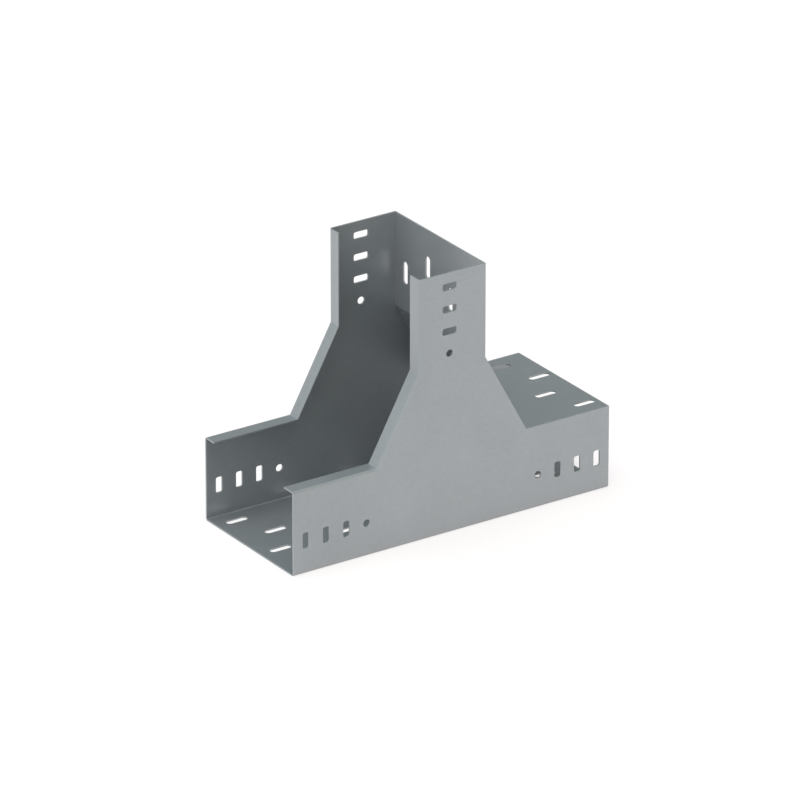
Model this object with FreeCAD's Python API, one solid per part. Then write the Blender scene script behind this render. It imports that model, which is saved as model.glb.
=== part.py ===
import FreeCAD, Part
import math
import os

from FreeCAD import Vector

# Vertical tee of a perforated cable tray, in millimetres.
# The straight run lies along X, the branch rises along +Z and the tray's width is along Y.
# The origin is in the middle of the underside, half way along the run and across the width.
# Two pieces: a folded body (base, two tee-shaped sides, inward lips) and a bent closing plate
# that covers the right leg, the right slope and the right side of the branch.

# Sheet and its folds
SHEET = 1.5
INSIDE_BEND = 1.0
OUTSIDE_BEND = INSIDE_BEND + SHEET

# Outline of the sides
RUN_LENGTH = 356.5
TRAY_WIDTH = 150.0
SIDE_HEIGHT = 84.5
OVERALL_HEIGHT = 265.0
BRANCH_START = 140.0
BRANCH_DEPTH = 74.5
KNEE_HEIGHT = 170.0
SLOPE_ANGLE = math.radians(61.2)
LIP_WIDTH = 15.0

# Fixing holes in the sides: three slots and a round hole at each open end
SIDE_SLOT_LENGTH = 16.0
SIDE_SLOT_WIDTH = 7.0
SIDE_SLOT_CORNER = 2.0
ROUND_HOLE = 7.5
SLOTS_PER_END = 3
HOLE_MARGIN = 14.0
HOLE_PITCH = 22.5
LEG_HOLE_HEIGHT = 33.8
BRANCH_HOLE_REACH = 40.2

# Staggered slots in the base and in the closing plate, with round ends
BASE_SLOT_LENGTH = 23.0
BASE_SLOT_WIDTH = 7.5
COLUMN_PITCH = 37.5
STAGGER = 18.75
ROW_PITCH = 75.0
ROW_MARGIN = 15.4
BRANCH_ROW_MARGIN = 38.0

# Places worked out from the sizes above
HALF_WIDTH = TRAY_WIDTH / 2
LEFT_END = -RUN_LENGTH / 2
RIGHT_END = RUN_LENGTH / 2
LIP_TOP = SIDE_HEIGHT + SHEET
BRANCH_LEFT = LEFT_END + BRANCH_START
BRANCH_RIGHT = BRANCH_LEFT + BRANCH_DEPTH
LEFT_FOOT = BRANCH_LEFT - (KNEE_HEIGHT - LIP_TOP) / math.tan(SLOPE_ANGLE)
RIGHT_FOOT = BRANCH_RIGHT + (KNEE_HEIGHT - SIDE_HEIGHT) / math.tan(SLOPE_ANGLE)
FOOT_MITRE = math.tan(SLOPE_ANGLE / 2)
KNEE_MITRE = math.tan((math.pi / 2 - SLOPE_ANGLE) / 2)
# As many columns of slots as fit on the flat between the bends
COLUMNS = 1 + int((TRAY_WIDTH - 2 * OUTSIDE_BEND - BASE_SLOT_WIDTH) / COLUMN_PITCH)

X_AXIS = Vector(1, 0, 0)
Y_AXIS = Vector(0, 1, 0)
Z_AXIS = Vector(0, 0, 1)


def left_line(depth):
    """The open left edge of a side, from the left end to the branch top, moved in by depth."""
    return [
        Vector(LEFT_END, 0, LIP_TOP - depth),
        Vector(LEFT_FOOT + depth * FOOT_MITRE, 0, LIP_TOP - depth),
        Vector(BRANCH_LEFT + depth, 0, KNEE_HEIGHT - depth * KNEE_MITRE),
        Vector(BRANCH_LEFT + depth, 0, OVERALL_HEIGHT),
    ]


def right_line(depth):
    """The closed right edge of a side, from the right end to the branch top, moved in by depth."""
    return [
        Vector(RIGHT_END, 0, SIDE_HEIGHT - depth),
        Vector(RIGHT_FOOT - depth * FOOT_MITRE, 0, SIDE_HEIGHT - depth),
        Vector(BRANCH_RIGHT - depth, 0, KNEE_HEIGHT - depth * KNEE_MITRE),
        Vector(BRANCH_RIGHT - depth, 0, OVERALL_HEIGHT),
    ]


def rounded_face(corners):
    """A flat face through corners, each a pair of a point and the radius of its rounding."""
    edges = []
    stops = []
    count = len(corners)
    for index, (point, radius) in enumerate(corners):
        before = (corners[index - 1][0] - point).normalize()
        after = (corners[(index + 1) % count][0] - point).normalize()
        if radius == 0:
            stops.append((point, point))
            continue
        half_angle = before.getAngle(after) / 2
        start = point + before * (radius / math.tan(half_angle))
        end = point + after * (radius / math.tan(half_angle))
        bisector = (before + after).normalize()
        middle = point + bisector * (radius / math.sin(half_angle) - radius)
        edges.append(Part.Arc(start, middle, end).toShape())
        stops.append((start, end))
    for index in range(count):
        leave = stops[index][1]
        reach = stops[(index + 1) % count][0]
        edges.append(Part.makeLine(leave, reach))
    return Part.Face(Part.Wire(Part.sortEdges(edges)[0]))


def extruded_outline(points, start, end):
    """A sharp-cornered outline in the XZ plane, made solid between two places along Y."""
    face = rounded_face([(point, 0) for point in points])
    face.translate(Y_AXIS * start)
    return face.extrude(Y_AXIS * (end - start))


def fold_section(corner, inward, width):
    """Section of one fold: a quarter bend off the front side and the flat flange behind it.

    corner is the sharp outer corner of the fold, inward points from the flange into the
    side, and width is how far the flange reaches back from the side's outer face.
    """
    centre = corner + (inward + Y_AXIS) * OUTSIDE_BEND
    diagonal = (inward + Y_AXIS).normalize()
    outer_start = corner + inward * OUTSIDE_BEND
    outer_end = corner + Y_AXIS * OUTSIDE_BEND
    inner_start = outer_end + inward * SHEET
    inner_end = outer_start + Y_AXIS * SHEET
    flange_outer = corner + Y_AXIS * width
    flange_inner = flange_outer + inward * SHEET
    edges = [
        Part.Arc(outer_start, centre - diagonal * OUTSIDE_BEND, outer_end).toShape(),
        Part.makeLine(outer_end, flange_outer),
        Part.makeLine(flange_outer, flange_inner),
        Part.makeLine(flange_inner, inner_start),
        Part.Arc(inner_start, centre - diagonal * INSIDE_BEND, inner_end).toShape(),
        Part.makeLine(inner_end, outer_start),
    ]
    return Part.Face(Part.Wire(edges))


def front_web():
    """The flat of the front side, inside its folds, rounded where the closing plate bends."""
    end, foot, knee, top = right_line(0)
    corners = [
        (Vector(LEFT_END, 0, OUTSIDE_BEND), 0),
        (Vector(RIGHT_END, 0, OUTSIDE_BEND), 0),
        (end, 0),
        (foot, INSIDE_BEND),
        (knee, INSIDE_BEND),
        (top, 0),
    ]
    corners += [(point, 0) for point in reversed(left_line(OUTSIDE_BEND))]
    face = rounded_face(corners)
    face.translate(Y_AXIS * -HALF_WIDTH)
    return face.extrude(Y_AXIS * SHEET)


def front_base():
    """The front half of the base with its fold, the whole length of the run."""
    section = fold_section(Vector(LEFT_END, -HALF_WIDTH, 0), Z_AXIS, HALF_WIDTH)
    return section.extrude(X_AXIS * RUN_LENGTH)


def front_lips():
    """The three lips along the open left edge of the front side, mitred where they meet."""
    outer = left_line(0)
    inner = left_line(OUTSIDE_BEND)
    lips = []
    for index in range(len(outer) - 1):
        along = outer[index + 1] - outer[index]
        inward = Y_AXIS.cross(along).normalize()
        start = outer[index] - along - Y_AXIS * HALF_WIDTH
        strip = fold_section(start, inward, LIP_WIDTH).extrude(along * 3)
        mitres = extruded_outline(
            [outer[index], outer[index + 1], inner[index + 1], inner[index]],
            -HALF_WIDTH,
            LIP_WIDTH - HALF_WIDTH,
        )
        lips.append(strip.common(mitres))
    return lips


def cutter(face, through, depth):
    """A solid to cut with: face made depth thick along through, half on each side of it."""
    face.translate(through * (-depth / 2))
    return face.extrude(through * depth)


def side_slot(centre, along, depth):
    """The cut of one slot through both sides, its corners rounded, its length along along."""
    tip = along * (SIDE_SLOT_LENGTH / 2)
    side = Y_AXIS.cross(along) * (SIDE_SLOT_WIDTH / 2)
    corners = [centre - tip - side, centre + tip - side, centre + tip + side, centre - tip + side]
    face = rounded_face([(corner, SIDE_SLOT_CORNER) for corner in corners])
    return cutter(face, Y_AXIS, depth)


def base_slot(centre, along, through):
    """The cut of one round-ended slot through the base or the closing plate."""
    reach = along * ((BASE_SLOT_LENGTH - BASE_SLOT_WIDTH) / 2)
    side = through.cross(along) * (BASE_SLOT_WIDTH / 2)
    tip = along * (BASE_SLOT_LENGTH / 2)
    edges = [
        Part.makeLine(centre - reach - side, centre + reach - side),
        Part.Arc(centre + reach - side, centre + tip, centre + reach + side).toShape(),
        Part.makeLine(centre + reach + side, centre - reach + side),
        Part.Arc(centre - reach + side, centre - tip, centre - reach - side).toShape(),
    ]
    return cutter(Part.Face(Part.Wire(edges)), through, 4 * SHEET)


def side_holes(first, step, along):
    """Slots and a round hole through both sides, from first in steps, slots along along."""
    depth = TRAY_WIDTH + SHEET
    cuts = [side_slot(first + step * index, along, depth) for index in range(SLOTS_PER_END)]
    round_centre = first + step * SLOTS_PER_END
    start = round_centre - Y_AXIS * (depth / 2)
    cuts.append(Part.makeCylinder(ROUND_HOLE / 2, depth, start, Y_AXIS))
    return cuts


def staggered_slots(end, inward, through):
    """One staggered row of slots across the width, counted inward from the row's first line."""
    cuts = []
    for column in range(COLUMNS):
        across = (column - (COLUMNS - 1) / 2) * COLUMN_PITCH
        centre = end + Y_AXIS * across + inward * (STAGGER * (column % 2))
        cuts.append(base_slot(centre, inward, through))
    return cuts


def tray_body():
    """Base, two tee-shaped sides and their lips, folded from one sheet and punched."""
    half = front_web().fuse([front_base()] + front_lips())
    body = half.fuse(half.mirror(Vector(0, 0, 0), Y_AXIS)).removeSplitter()
    left_first = Vector(LEFT_END + HOLE_MARGIN, 0, LEG_HOLE_HEIGHT)
    right_first = Vector(RIGHT_END - HOLE_MARGIN, 0, LEG_HOLE_HEIGHT)
    branch_first = Vector(BRANCH_RIGHT - BRANCH_HOLE_REACH, 0, OVERALL_HEIGHT - HOLE_MARGIN)
    cuts = side_holes(left_first, X_AXIS * HOLE_PITCH, Z_AXIS)
    cuts += side_holes(right_first, X_AXIS * -HOLE_PITCH, Z_AXIS)
    cuts += side_holes(branch_first, Z_AXIS * -HOLE_PITCH, X_AXIS)
    row = RIGHT_END - ROW_MARGIN
    while row - STAGGER - BASE_SLOT_LENGTH / 2 > LEFT_END:
        cuts += staggered_slots(Vector(row, 0, SHEET / 2), -X_AXIS, Z_AXIS)
        row -= ROW_PITCH
    return body.cut(cuts)


def closing_plate():
    """Cover of the right leg, bent up the slope and the branch, set flush between the sides."""
    outer = right_line(0)
    inner = right_line(SHEET)
    corners = [
        (outer[0], 0),
        (outer[1], INSIDE_BEND),
        (outer[2], INSIDE_BEND),
        (outer[3], 0),
        (inner[3], 0),
        (inner[2], OUTSIDE_BEND),
        (inner[1], OUTSIDE_BEND),
        (inner[0], 0),
    ]
    section = rounded_face(corners)
    section.translate(Y_AXIS * (SHEET - HALF_WIDTH))
    plate = section.extrude(Y_AXIS * (TRAY_WIDTH - 2 * SHEET))
    leg_line = Vector(RIGHT_END - ROW_MARGIN, 0, SIDE_HEIGHT - SHEET / 2)
    branch_line = Vector(BRANCH_RIGHT - SHEET / 2, 0, OVERALL_HEIGHT - BRANCH_ROW_MARGIN)
    leg_row = staggered_slots(leg_line, -X_AXIS, Z_AXIS)
    branch_row = staggered_slots(branch_line, -Z_AXIS, X_AXIS)
    return plate.cut(leg_row + branch_row)


os.makedirs("parts", exist_ok=True)
tray_body().exportStep("parts/tray_body.step")
closing_plate().exportStep("parts/closing_plate.step")
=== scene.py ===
"""Vertical tee of a perforated cable tray: its zinc finish, its studio and its camera."""

import logging
import math
from dataclasses import dataclass
from enum import Enum
from typing import Any, Optional, Union

import bpy
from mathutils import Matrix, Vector


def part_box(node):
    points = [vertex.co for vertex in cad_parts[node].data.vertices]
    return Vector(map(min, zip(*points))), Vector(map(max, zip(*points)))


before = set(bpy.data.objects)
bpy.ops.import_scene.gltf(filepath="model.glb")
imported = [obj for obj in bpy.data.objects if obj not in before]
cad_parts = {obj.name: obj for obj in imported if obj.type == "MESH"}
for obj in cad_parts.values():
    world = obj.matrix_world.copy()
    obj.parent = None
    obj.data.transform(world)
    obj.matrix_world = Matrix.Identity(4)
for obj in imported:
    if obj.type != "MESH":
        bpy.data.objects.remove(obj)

LOG = logging.getLogger("cable_tray_tee")
MM_PER_METRE = 1000.0

Colour = tuple[float, float, float, float]
Direction = tuple[float, float, float]

AXES: tuple[Direction, ...] = ((1.0, 0.0, 0.0), (0.0, 1.0, 0.0), (0.0, 0.0, 1.0))


class Rolled(Enum):
    """How a blank lay on its coil: the axes along which its mill lines run long."""

    ALONG_THE_RUN = (True, False, False)
    ROUND_THE_BENDS = (True, False, True)


class BackgroundRay(Enum):
    """The rays that see the floor as a white background."""

    CAMERA = "Is Camera Ray"
    GLOSSY = "Is Glossy Ray"
    TRANSMISSION = "Is Transmission Ray"


def metres(millimetres: float) -> float:
    """Turns a length in millimetres into metres."""
    return millimetres / MM_PER_METRE


def per_metre(millimetres: float) -> float:
    """Turns the size of one repeat of a pattern in millimetres into repeats per metre."""
    return MM_PER_METRE / millimetres


def linear(srgb: str) -> Colour:
    """Turns an sRGB colour into the linear colour that shaders take.

    Args:
        srgb: Six hexadecimal digits, such as "A2A5A8".

    Returns:
        Linear red, green and blue, and an alpha of 1.
    """
    channels = []
    for start in (0, 2, 4):
        share = int(srgb[start:start + 2], 16) / 255.0
        if share <= 0.04045:
            channels.append(share / 12.92)
        else:
            channels.append(((share + 0.055) / 1.055) ** 2.4)
    return (channels[0], channels[1], channels[2], 1.0)


def scaled(colour: Colour, level: float) -> Colour:
    """Makes a linear colour stronger or weaker, with its alpha kept at 1."""
    return (colour[0] * level, colour[1] * level, colour[2] * level, 1.0)


def towards(azimuth: float, elevation: float) -> Vector:
    """Gives the direction from the tee to a place in the studio.

    Args:
        azimuth: Degrees from straight in front of the tee, positive to the right.
        elevation: Degrees above the floor.

    Returns:
        A direction of length 1.
    """
    turn = math.radians(azimuth)
    rise = math.radians(elevation)
    return Vector(
        (
            math.sin(turn) * math.cos(rise),
            -math.cos(turn) * math.cos(rise),
            math.sin(rise),
        )
    )


def add_node(
    tree: bpy.types.NodeTree,
    kind: str,
    inputs: Optional[dict[Union[str, int], Any]] = None,
    **settings: Any,
) -> bpy.types.Node:
    """Adds a node to a tree, sets its options and fills its inputs.

    Args:
        tree: The node tree that gets the node.
        kind: Blender's name for the kind of node.
        inputs: A value or an output socket for each input, by name or number.
        settings: The node's own options by name.

    Returns:
        The new node.
    """
    node = tree.nodes.new(kind)
    for name, value in settings.items():
        setattr(node, name, value)
    for key, value in (inputs or {}).items():
        if isinstance(value, bpy.types.NodeSocket):
            tree.links.new(value, node.inputs[key])
        else:
            node.inputs[key].default_value = value
    return node


def empty_material(name: str) -> bpy.types.Material:
    """Makes a material whose node tree is still empty.

    Args:
        name: The material's name.

    Returns:
        The material.
    """
    material = bpy.data.materials.new(name)
    material.use_nodes = True
    material.node_tree.nodes.clear()
    return material


@dataclass(frozen=True)
class GalvanisedSheet:
    """Continuously galvanised steel sheet: dipped in zinc, wiped thin and lightly rolled.

    The zinc gives the eye a satin, slightly cool grey. Its small crystals differ a little
    in tone, the rolls leave faint long lines, and air dulls it in soft clouds. Folding
    crazes it, so that the folds shine less; their slightly lighter tone is partly
    stretched zinc and partly a painted highlight. Where a punch or a shear has cut the
    sheet, smeared zinc leaves a rougher edge, whose lighter tone is partly that zinc and
    partly a painted highlight.
    """

    name: str
    bright: str = "AAADB0"
    dull: str = "9A9DA0"
    # The folds' lighter tone: partly stretched zinc, partly a painted highlight.
    stretched_with_painted_highlight: str = "A5A7A9"
    # The cut edges' lighter tone: partly zinc smeared by the shear, partly a painted
    # highlight.
    sheared_with_painted_highlight: str = "BABCBC"
    # Matched, with the roughness, to one photograph of the object, and not measured. An
    # oxide film that scatters light may be why it isn't fully metallic.
    metallic: float = 0.6
    smoothest: float = 0.31
    roughest: float = 0.39
    crazed_roughness: float = 0.1
    sheared_roughness: float = 0.12
    # Crystals of wiped zinc are 0.5 to 1 mm wide. They are drawn coarser, or they
    # wouldn't show.
    crystal_mm: float = 2.6
    # Mill lines are finer than 0.2 mm, and are drawn coarser for the same reason.
    line_mm: float = 0.9
    line_length_mm: float = 70.0
    cloud_mm: float = 48.0
    scuff_mm: float = 5.0
    relief_mm: float = 0.012
    relief_strength: float = 0.6
    # What share the mill lines, against the crystals, and the clouds, against both, have.
    lines_in_tone: float = 0.45
    lines_in_gloss: float = 0.5
    lines_in_relief: float = 0.6
    clouds_in_tone: float = 0.55
    # How much of the folds' lighter tone, partly a painted highlight, the folds get.
    painted_highlight_in_folds: float = 0.5
    # How far sharp edges are softened, and how far their wear and painted highlight
    # reach, as shares of the sheet's thickness.
    softened_share: float = 1.0 / 3.0
    worn_and_highlit_share: float = 0.5
    # Cosines of the angle to the nearest flat: above the first it's flat, below the
    # second it's the middle of a fold.
    flat_cosine: float = 0.999
    fold_cosine: float = 0.96
    # Cosines of the angle that a worn edge turns: above the first there's no wear, below
    # the second it's full.
    face_cosine: float = 0.985
    edge_cosine: float = 0.9
    # Scuffing noise below the first leaves the least wear and painted highlight, and
    # above the second, all of both.
    scuff_low: float = 0.3
    scuff_high: float = 0.6
    least_wear_and_highlight: float = 0.35
    # How finely each noise is broken up.
    crystal_detail: float = 1.0
    line_detail: float = 2.0
    cloud_detail: float = 3.0
    scuff_detail: float = 2.0
    softened_samples: int = 4
    worn_and_highlit_samples: int = 6

    def build(
        self, rolled: Rolled, sheet_mm: float, flats: tuple[Direction, ...]
    ) -> bpy.types.Material:
        """Builds the finish for one folded piece.

        Args:
            rolled: How the piece's blank lay on the coil.
            sheet_mm: Thickness of the sheet, which sets how wide its cut edges are.
            flats: The directions that the piece's flat faces look in.

        Returns:
            The finished material.
        """
        material = empty_material(self.name)
        tree = material.node_tree
        place = add_node(tree, "ShaderNodeTexCoord").outputs["Object"]
        crystals = self.crystals(tree, place)
        lines = self.mill_lines(tree, place, rolled)
        clouds = self.clouds(tree, place)
        softened = add_node(
            tree,
            "ShaderNodeBevel",
            {"Radius": metres(sheet_mm * self.softened_share)},
            samples=self.softened_samples,
        ).outputs["Normal"]
        cut = self.cut_edges(tree, place, sheet_mm)
        fold = self.folds(tree, flats)
        surface = add_node(
            tree,
            "ShaderNodeBsdfPrincipled",
            {
                "Base Color": self.tone(tree, crystals, lines, clouds, fold, cut),
                "Metallic": self.metallic,
                "Roughness": self.gloss(tree, crystals, lines, fold, cut),
                "Normal": self.relief(tree, crystals, lines, softened),
            },
        )
        add_node(tree, "ShaderNodeOutputMaterial", {"Surface": surface.outputs["BSDF"]})
        return material

    def crystals(
        self, tree: bpy.types.NodeTree, place: bpy.types.NodeSocket
    ) -> bpy.types.NodeSocket:
        """Gives each zinc crystal a tone of its own.

        Args:
            tree: The material's node tree.
            place: The place on the object.

        Returns:
            A tone from 0 to 1 that is the same all over one crystal.
        """
        half = self.crystal_mm / 2.0
        wander = add_node(
            tree,
            "ShaderNodeTexNoise",
            {"Vector": place, "Scale": per_metre(half), "Detail": self.crystal_detail},
        )
        reach = metres(half)
        ragged = add_node(
            tree,
            "ShaderNodeVectorMath",
            {0: wander.outputs["Color"], 1: (reach, reach, reach), 2: place},
            operation="MULTIPLY_ADD",
        )
        cells = add_node(
            tree,
            "ShaderNodeTexVoronoi",
            {"Vector": ragged.outputs["Vector"], "Scale": per_metre(self.crystal_mm)},
            feature="F1",
        )
        return add_node(
            tree, "ShaderNodeSeparateColor", {"Color": cells.outputs["Color"]}
        ).outputs["Red"]

    def mill_lines(
        self, tree: bpy.types.NodeTree, place: bpy.types.NodeSocket, rolled: Rolled
    ) -> bpy.types.NodeSocket:
        """Draws the long faint lines that the rolls leave.

        Args:
            tree: The material's node tree.
            place: The place on the object.
            rolled: How the blank lay on the coil.

        Returns:
            A tone from 0 to 1 that varies across the lines.
        """
        repeats = [
            per_metre(self.line_length_mm if along else self.line_mm)
            for along in rolled.value
        ]
        drawn = add_node(tree, "ShaderNodeMapping", {"Vector": place, "Scale": repeats})
        return add_node(
            tree,
            "ShaderNodeTexNoise",
            {
                "Vector": drawn.outputs["Vector"],
                "Scale": 1.0,
                "Detail": self.line_detail,
            },
        ).outputs["Fac"]

    def clouds(
        self, tree: bpy.types.NodeTree, place: bpy.types.NodeSocket
    ) -> bpy.types.NodeSocket:
        """Draws the soft clouds in which the air has dulled the zinc.

        Args:
            tree: The material's node tree.
            place: The place on the object.

        Returns:
            A tone from 0, dull, to 1, bright.
        """
        return add_node(
            tree,
            "ShaderNodeTexNoise",
            {
                "Vector": place,
                "Scale": per_metre(self.cloud_mm),
                "Detail": self.cloud_detail,
            },
        ).outputs["Fac"]

    def folds(
        self, tree: bpy.types.NodeTree, flats: tuple[Direction, ...]
    ) -> bpy.types.NodeSocket:
        """Finds the folds: where the surface looks in none of the flat faces' directions.

        Args:
            tree: The material's node tree.
            flats: The directions that the piece's flat faces look in.

        Returns:
            0 on flat faces, rising to 1 in the middle of a fold.
        """
        normal = add_node(tree, "ShaderNodeNewGeometry").outputs["Normal"]
        nearest = None
        for flat in flats:
            along = add_node(
                tree,
                "ShaderNodeVectorMath",
                {0: normal, 1: flat},
                operation="DOT_PRODUCT",
            )
            share = add_node(
                tree, "ShaderNodeMath", {0: along.outputs["Value"]}, operation="ABSOLUTE"
            ).outputs[0]
            if nearest is not None:
                share = add_node(
                    tree, "ShaderNodeMath", {0: nearest, 1: share}, operation="MAXIMUM"
                ).outputs[0]
            nearest = share
        return add_node(
            tree,
            "ShaderNodeMapRange",
            {
                "Value": nearest,
                "From Min": self.flat_cosine,
                "From Max": self.fold_cosine,
            },
            interpolation_type="SMOOTHSTEP",
        ).outputs["Result"]

    def cut_edges(
        self, tree: bpy.types.NodeTree, place: bpy.types.NodeSocket, sheet_mm: float
    ) -> bpy.types.NodeSocket:
        """Finds the sheared and punched edges, and breaks up how far their wear and
        painted highlight reach.

        Args:
            tree: The material's node tree.
            place: The place on the object.
            sheet_mm: Thickness of the sheet.

        Returns:
            0 on the faces, and up to 1 on the cut edges.
        """
        rounded = add_node(
            tree,
            "ShaderNodeBevel",
            {"Radius": metres(sheet_mm * self.worn_and_highlit_share)},
            samples=self.worn_and_highlit_samples,
        ).outputs["Normal"]
        normal = add_node(tree, "ShaderNodeNewGeometry").outputs["Normal"]
        along = add_node(
            tree,
            "ShaderNodeVectorMath",
            {0: rounded, 1: normal},
            operation="DOT_PRODUCT",
        )
        edge = add_node(
            tree,
            "ShaderNodeMapRange",
            {
                "Value": along.outputs["Value"],
                "From Min": self.face_cosine,
                "From Max": self.edge_cosine,
            },
            interpolation_type="SMOOTHSTEP",
        )
        scuffs = add_node(
            tree,
            "ShaderNodeTexNoise",
            {
                "Vector": place,
                "Scale": per_metre(self.scuff_mm),
                "Detail": self.scuff_detail,
            },
        )
        kept = add_node(
            tree,
            "ShaderNodeMapRange",
            {
                "Value": scuffs.outputs["Fac"],
                "From Min": self.scuff_low,
                "From Max": self.scuff_high,
                "To Min": self.least_wear_and_highlight,
            },
        )
        return add_node(
            tree,
            "ShaderNodeMath",
            {0: edge.outputs["Result"], 1: kept.outputs["Result"]},
            operation="MULTIPLY",
        ).outputs[0]

    def tone(
        self,
        tree: bpy.types.NodeTree,
        crystals: bpy.types.NodeSocket,
        lines: bpy.types.NodeSocket,
        clouds: bpy.types.NodeSocket,
        fold: bpy.types.NodeSocket,
        cut: bpy.types.NodeSocket,
    ) -> bpy.types.NodeSocket:
        """Mixes the zinc's colour, with lighter tones on folds and cut edges that are
        partly painted highlights.

        Args:
            tree: The material's node tree.
            crystals: Tone of each crystal.
            lines: Tone across the mill lines.
            clouds: Tone of the clouds.
            fold: How far the surface is part of a fold.
            cut: How far the surface is part of a cut edge.

        Returns:
            The colour.
        """
        grain = add_node(
            tree, "ShaderNodeMix", {0: self.lines_in_tone, 2: crystals, 3: lines}
        )
        shade = add_node(
            tree,
            "ShaderNodeMix",
            {0: self.clouds_in_tone, 2: grain.outputs[0], 3: clouds},
        )
        zinc = add_node(
            tree,
            "ShaderNodeMix",
            {0: shade.outputs[0], 6: linear(self.dull), 7: linear(self.bright)},
            data_type="RGBA",
        )
        # Folds get a lighter tone that is partly stretched zinc and partly a painted
        # highlight.
        fold_highlight = add_node(
            tree,
            "ShaderNodeMath",
            {0: fold, 1: self.painted_highlight_in_folds},
            operation="MULTIPLY",
        )
        with_fold_highlight = add_node(
            tree,
            "ShaderNodeMix",
            {0: fold_highlight.outputs[0], 6: zinc.outputs[2], 7: linear(self.stretched_with_painted_highlight)},
            data_type="RGBA",
        )
        # Cut edges get a lighter tone that is partly smeared zinc and partly a painted
        # highlight.
        return add_node(
            tree,
            "ShaderNodeMix",
            {0: cut, 6: with_fold_highlight.outputs[2], 7: linear(self.sheared_with_painted_highlight)},
            data_type="RGBA",
        ).outputs[2]

    def gloss(
        self,
        tree: bpy.types.NodeTree,
        crystals: bpy.types.NodeSocket,
        lines: bpy.types.NodeSocket,
        fold: bpy.types.NodeSocket,
        cut: bpy.types.NodeSocket,
    ) -> bpy.types.NodeSocket:
        """Varies the roughness from crystal to crystal, and roughens folds and cut edges.

        Args:
            tree: The material's node tree.
            crystals: Tone of each crystal.
            lines: Tone across the mill lines.
            fold: How far the surface is part of a fold.
            cut: How far the surface is part of a cut edge.

        Returns:
            The roughness.
        """
        grain = add_node(
            tree, "ShaderNodeMix", {0: self.lines_in_gloss, 2: crystals, 3: lines}
        )
        satin = add_node(
            tree,
            "ShaderNodeMapRange",
            {
                "Value": grain.outputs[0],
                "To Min": self.smoothest,
                "To Max": self.roughest,
            },
        )
        crazed = add_node(
            tree,
            "ShaderNodeMath",
            {0: fold, 1: self.crazed_roughness, 2: satin.outputs["Result"]},
            operation="MULTIPLY_ADD",
        )
        return add_node(
            tree,
            "ShaderNodeMath",
            {0: cut, 1: self.sheared_roughness, 2: crazed.outputs[0]},
            operation="MULTIPLY_ADD",
        ).outputs[0]

    def relief(
        self,
        tree: bpy.types.NodeTree,
        crystals: bpy.types.NodeSocket,
        lines: bpy.types.NodeSocket,
        softened: bpy.types.NodeSocket,
    ) -> bpy.types.NodeSocket:
        """Raises crystals and mill lines about a hundredth of a millimetre.

        Args:
            tree: The material's node tree.
            crystals: Tone of each crystal.
            lines: Tone across the mill lines.
            softened: The surface's direction, with its sharp edges a little rounded.

        Returns:
            The direction that the shader uses.
        """
        height = add_node(
            tree, "ShaderNodeMix", {0: self.lines_in_relief, 2: crystals, 3: lines}
        )
        return add_node(
            tree,
            "ShaderNodeBump",
            {
                "Strength": self.relief_strength,
                "Distance": metres(self.relief_mm),
                "Height": height.outputs[0],
                "Normal": softened,
            },
        ).outputs["Normal"]


@dataclass(frozen=True)
class FoldedSheet:
    """One piece of sheet steel of the tee, as model.glb carries it."""

    node: str
    rolled: Rolled
    finish: GalvanisedSheet
    sheet_mm: float = 1.5
    slope_degrees: float = 61.2

    def flats(self) -> tuple[Direction, ...]:
        """Gives the directions that the piece's flat faces look in."""
        return AXES + self.slope_flats(math.radians(self.slope_degrees))

    def slope_flats(self, slope: float) -> tuple[Direction, ...]:
        """Gives the directions that the piece's sloped faces look in.

        Args:
            slope: Angle between the slope and the run, in radians.

        Returns:
            One direction for each slope.
        """
        raise NotImplementedError

    def dress(self) -> None:
        """Gives the piece its finish."""
        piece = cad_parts[self.node]
        piece.data.materials.clear()
        piece.data.materials.append(
            self.finish.build(self.rolled, self.sheet_mm, self.flats())
        )
        low, high = (Vector(corner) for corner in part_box(self.node))
        size = [MM_PER_METRE * side for side in high - low]
        LOG.info("%s: %.1f by %.1f by %.1f mm, %s", self.node, *size, self.finish.name)


@dataclass(frozen=True)
class TrayBody(FoldedSheet):
    """Base, two tee-shaped sides and the lips along the open left edges, in one sheet."""

    node: str = "tray_body"
    rolled: Rolled = Rolled.ALONG_THE_RUN
    finish: GalvanisedSheet = GalvanisedSheet("galvanised_steel_of_the_body")

    def slope_flats(self, slope: float) -> tuple[Direction, ...]:
        """Gives the direction of the sloped lips, which look up and to the left.

        Args:
            slope: Angle between the slope and the run, in radians.

        Returns:
            That direction, and the one along the slope, which the lips' ends look in.
        """
        across = (-math.sin(slope), 0.0, math.cos(slope))
        along = (math.cos(slope), 0.0, math.sin(slope))
        return (across, along)


@dataclass(frozen=True)
class ClosingPlate(FoldedSheet):
    """Strip with two bends that closes the right leg, the right slope and the branch."""

    node: str = "closing_plate"
    rolled: Rolled = Rolled.ROUND_THE_BENDS
    finish: GalvanisedSheet = GalvanisedSheet("galvanised_steel_of_the_plate")

    def slope_flats(self, slope: float) -> tuple[Direction, ...]:
        """Gives the direction of the sloped panel, which looks up and to the right.

        Args:
            slope: Angle between the slope and the run, in radians.

        Returns:
            That one direction.
        """
        return ((math.sin(slope), 0.0, math.cos(slope)),)


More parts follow.
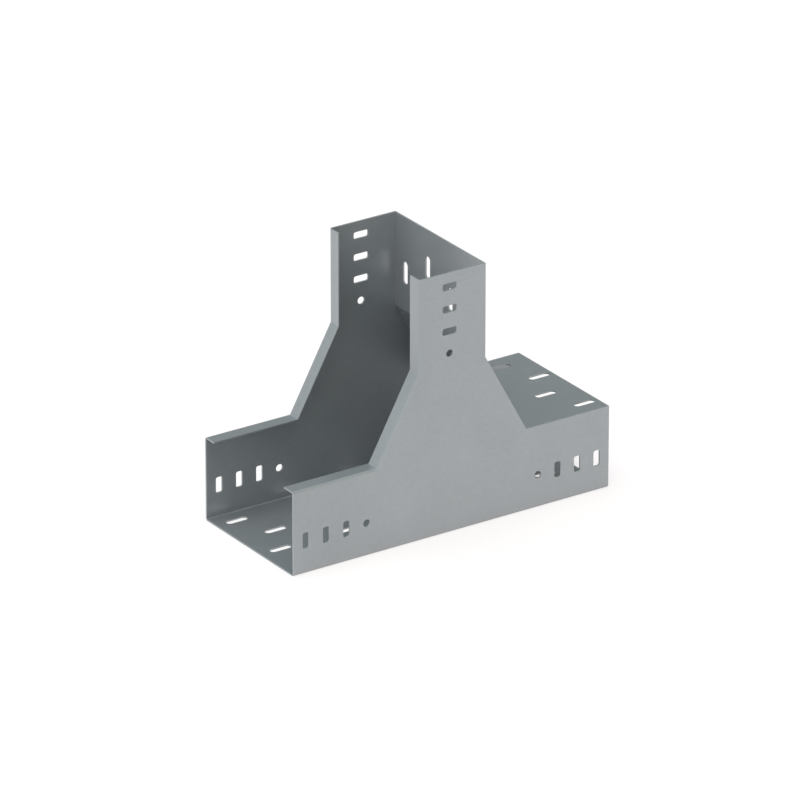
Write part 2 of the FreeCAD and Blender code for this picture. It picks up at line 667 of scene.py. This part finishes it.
@dataclass(frozen=True)
class StudioFloor:
    """White painted floor, wide enough to be the whole background."""

    side: float = 12.0
    paint: str = "F0F0F0"
    # The eye sees this share of the paint, and the rest as white that no shadow reaches.
    painted_share: float = 0.4
    white: str = "FFF9F9"
    white_level: float = 0.7

    def build(self) -> bpy.types.Object:
        """Lays the floor under the tee.

        Returns:
            The floor.
        """
        bpy.ops.object.select_all(action="DESELECT")
        bpy.ops.mesh.primitive_plane_add(size=self.side, location=(0.0, 0.0, 0.0))
        floor = bpy.context.object
        floor.name = "floor"
        floor.data.materials.append(self.matt_paint())
        return floor

    def matt_paint(self) -> bpy.types.Material:
        """Builds the floor's matt paint, with its white for the background rays.

        Returns:
            The material.
        """
        material = empty_material("matt_white_floor_paint")
        tree = material.node_tree
        ray = add_node(tree, "ShaderNodeLightPath")
        seen = ray.outputs[BackgroundRay.CAMERA.value]
        for kind in (BackgroundRay.GLOSSY, BackgroundRay.TRANSMISSION):
            seen = add_node(
                tree,
                "ShaderNodeMath",
                {0: seen, 1: ray.outputs[kind.value]},
                operation="MAXIMUM",
            ).outputs[0]
        colour = add_node(
            tree,
            "ShaderNodeMix",
            {
                0: seen,
                6: linear(self.paint),
                7: scaled(linear(self.paint), self.painted_share),
            },
            data_type="RGBA",
        )
        level = add_node(
            tree, "ShaderNodeMath", {0: seen, 1: self.white_level}, operation="MULTIPLY"
        )
        paint = add_node(tree, "ShaderNodeBsdfDiffuse", {"Color": colour.outputs[2]})
        white = add_node(
            tree,
            "ShaderNodeEmission",
            {"Color": linear(self.white), "Strength": level.outputs[0]},
        )
        both = add_node(
            tree, "ShaderNodeAddShader", {0: paint.outputs[0], 1: white.outputs[0]}
        )
        add_node(tree, "ShaderNodeOutputMaterial", {"Surface": both.outputs[0]})
        return material


@dataclass(frozen=True)
class StudioRoom:
    """Pale walls that light the tee from all round, under a dark ceiling."""

    walls: str = "FAFFFC"
    wall_level: float = 0.545
    wall_top: float = 0.15
    ceiling_edge: float = 0.6

    def build(self) -> bpy.types.World:
        """Builds the room's light, which fades from the walls up to the ceiling.

        Returns:
            The world.
        """
        world = bpy.data.worlds.new("studio_room")
        bpy.context.scene.world = world
        world.use_nodes = True
        tree = world.node_tree
        tree.nodes.clear()
        sight = add_node(tree, "ShaderNodeTexCoord")
        height = add_node(
            tree, "ShaderNodeSeparateXYZ", {"Vector": sight.outputs["Generated"]}
        )
        share = add_node(
            tree,
            "ShaderNodeMapRange",
            {
                "Value": height.outputs["Z"],
                "From Min": self.wall_top,
                "From Max": self.ceiling_edge,
                "To Min": self.wall_level,
                "To Max": 0.0,
            },
            interpolation_type="SMOOTHSTEP",
        )
        light = add_node(
            tree,
            "ShaderNodeBackground",
            {"Color": linear(self.walls), "Strength": share.outputs["Result"]},
        )
        add_node(tree, "ShaderNodeOutputWorld", {"Surface": light.outputs[0]})
        return world


@dataclass(frozen=True)
class SoftLamp:
    """One wide, soft lamp that lights the whole tee evenly.

    It stands at an azimuth and an elevation in degrees, and is as wide as its spread, in
    degrees too, makes it look from the tee.
    """

    name: str
    level: float
    azimuth: float
    elevation: float
    colour: str
    spread: float
    stand_off: float = 3.0

    def hang(self) -> bpy.types.Object:
        """Hangs the lamp and turns it to the tee.

        Returns:
            The lamp.
        """
        direction = towards(self.azimuth, self.elevation)
        bpy.ops.object.select_all(action="DESELECT")
        bpy.ops.object.light_add(type="SUN", location=direction * self.stand_off)
        lamp = bpy.context.object
        lamp.name = self.name
        lamp.data.energy = self.level
        lamp.data.angle = math.radians(self.spread)
        lamp.data.color = linear(self.colour)[:3]
        lamp.rotation_mode = "QUATERNION"
        lamp.rotation_quaternion = (-direction).to_track_quat("-Z", "Y")
        return lamp


@dataclass(frozen=True)
class Studio:
    """White studio round the tee: its floor, its room and its lamps."""

    floor: StudioFloor = StudioFloor()
    room: StudioRoom = StudioRoom()
    # Levels and tints are matched to one photograph, taken from one side. From other
    # sides they leave faint tints: flat faces look a little blue from above.
    lamps: tuple[SoftLamp, ...] = (
        SoftLamp("overhead_lamp", 1.46, -30.0, 81.0, "F4FEFF", 50.0),
        SoftLamp("left_lamp", 1.17, -60.0, 25.0, "FBFFFF", 120.0),
        SoftLamp("right_lamp", 0.59, 20.0, 40.0, "FFFCEC", 100.0),
        SoftLamp("back_left_lamp", 0.46, -135.0, 25.0, "F1FBFF", 90.0),
        SoftLamp("high_back_lamp", 0.68, 180.0, 60.0, "E7FBFF", 60.0),
    )

    def build(self) -> None:
        """Builds the floor and the room and hangs the lamps."""
        LOG.info("laid %s", self.floor.build().name)
        LOG.info("lit %s", self.room.build().name)
        for lamp in self.lamps:
            LOG.info("hung %s", lamp.hang().name)


@dataclass(frozen=True)
class PortraitCamera:
    """Long lens in front of the open leg, looking down at the tee."""

    # The place and the lens are fitted to edges and hole centres of the object.
    place_mm: Direction = (-3952.77, -5875.90, 3278.52)
    azimuth: float = 33.8681
    elevation: float = 24.1244
    lens_mm: float = 372.132
    sensor_mm: float = 36.0
    sight_limit: float = 60.0

    def build(self) -> bpy.types.Object:
        """Places the camera and makes it the scene's own.

        Returns:
            The camera.
        """
        ahead = -towards(-self.azimuth, self.elevation)
        bpy.ops.object.select_all(action="DESELECT")
        bpy.ops.object.camera_add(location=[metres(value) for value in self.place_mm])
        camera = bpy.context.object
        camera.name = "portrait_camera"
        camera.data.lens = self.lens_mm
        camera.data.sensor_width = self.sensor_mm
        camera.data.clip_end = self.sight_limit
        camera.rotation_mode = "QUATERNION"
        camera.rotation_quaternion = ahead.to_track_quat("-Z", "Y")
        bpy.context.scene.camera = camera
        return camera


def main() -> None:
    """Dresses the pieces, builds the studio and places the camera."""
    logging.basicConfig(level=logging.INFO, format="%(message)s")
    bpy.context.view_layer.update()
    for piece in (TrayBody(), ClosingPlate()):
        piece.dress()
    Studio().build()
    LOG.info("placed %s", PortraitCamera().build().name)
    bpy.context.scene.view_settings.view_transform = "Standard"


if __name__ == "__main__":
    main()
